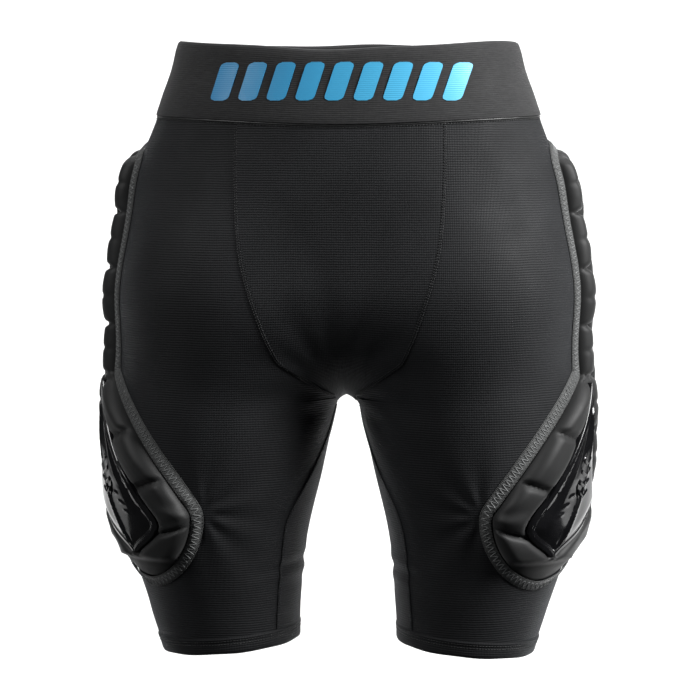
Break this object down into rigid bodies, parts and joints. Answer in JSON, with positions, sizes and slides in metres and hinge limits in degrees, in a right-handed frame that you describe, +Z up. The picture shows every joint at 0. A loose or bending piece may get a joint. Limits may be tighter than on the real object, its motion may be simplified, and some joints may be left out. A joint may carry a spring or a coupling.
{
  "type": "padded impact shorts",
  "caption": "Close-fitting thigh-length under-shorts with foam block pads on the hips, thighs and tail, and hard plates on the thighs and tail, for falls in snow sports.",
  "frame": {"origin": "centre of the waist opening, level with the top edge of the waistband", "axes": "+Z up, towards the waist; -Y is the wearer's front; +X is the wearer's left"},
  "size_m": [0.4248, 0.2606, 0.5176],
  "materials": {
    "stretch_fabric": "fine knit with a soft sheen",
    "band_fabric": "matte ribbed elastic cover",
    "elastic": "woven elastic",
    "lining": "mesh lining",
    "thread_tape": "flatlock stitched tape",
    "foam": "matte moulded foam",
    "shell": "polished black",
    "badge": "raised ribs, satin",
    "print": "transfer print, blue",
    "silicone": "soft silicone grip",
    "label": "blank satin label"
  },
  "bodies": {
    "pelvis": {"waistband_cover": "band_fabric", "waistband_elastic": "elastic", "waistband_grip": "silicone", "waistband_print": "print", "waist_seam": "thread_tape", "care_label": "label", "front_panel": "stretch_fabric", "crotch_gusset": "stretch_fabric", "gusset_lining": "lining", "tail_pad": "foam", "tail_plate": "shell", "tail_tape": "thread_tape", "left_hip_panel": "stretch_fabric", "right_hip_panel": "stretch_fabric", "left_seat_panel": "stretch_fabric", "right_seat_panel": "stretch_fabric", "left_groin_panel": "stretch_fabric", "right_groin_panel": "stretch_fabric", "left_gluteal_panel": "stretch_fabric", "right_gluteal_panel": "stretch_fabric", "left_hip_liner": "lining", "right_hip_liner": "lining", "left_hip_pad": "foam", "right_hip_pad": "foam", "left_hip_tape": "thread_tape", "right_hip_tape": "thread_tape"},
    "left_leg": {"left_thigh_liner": "lining", "left_thigh_pad": "foam", "left_thigh_tape": "thread_tape", "left_thigh_plate": "shell", "left_plate_badge": "badge", "left_thigh_front_panel": "stretch_fabric", "left_thigh_back_panel": "stretch_fabric", "left_inner_panel": "stretch_fabric", "left_hem": "stretch_fabric", "left_hem_grip": "silicone"},
    "right_leg": {"right_thigh_liner": "lining", "right_thigh_pad": "foam", "right_thigh_tape": "thread_tape", "right_thigh_plate": "shell", "right_plate_badge": "badge", "right_thigh_front_panel": "stretch_fabric", "right_thigh_back_panel": "stretch_fabric", "right_inner_panel": "stretch_fabric", "right_hem": "stretch_fabric", "right_hem_grip": "silicone"}
  },
  "joints": [
    {"name": "left_hip", "type": "hinge", "parent": "pelvis", "child": "left_leg", "pos_m": [0.1, 0, -0.245], "axis": [-1, 0, 0], "range_deg": [-12, 30], "stiffness_Nm_per_rad": 0.8, "deforming": ["left_groin_panel", "left_gluteal_panel"]},
    {"name": "right_hip", "type": "hinge", "parent": "pelvis", "child": "right_leg", "pos_m": [-0.1, 0, -0.245], "axis": [-1, 0, 0], "range_deg": [-12, 30], "stiffness_Nm_per_rad": 0.8, "deforming": ["right_groin_panel", "right_gluteal_panel"]}
  ]
}
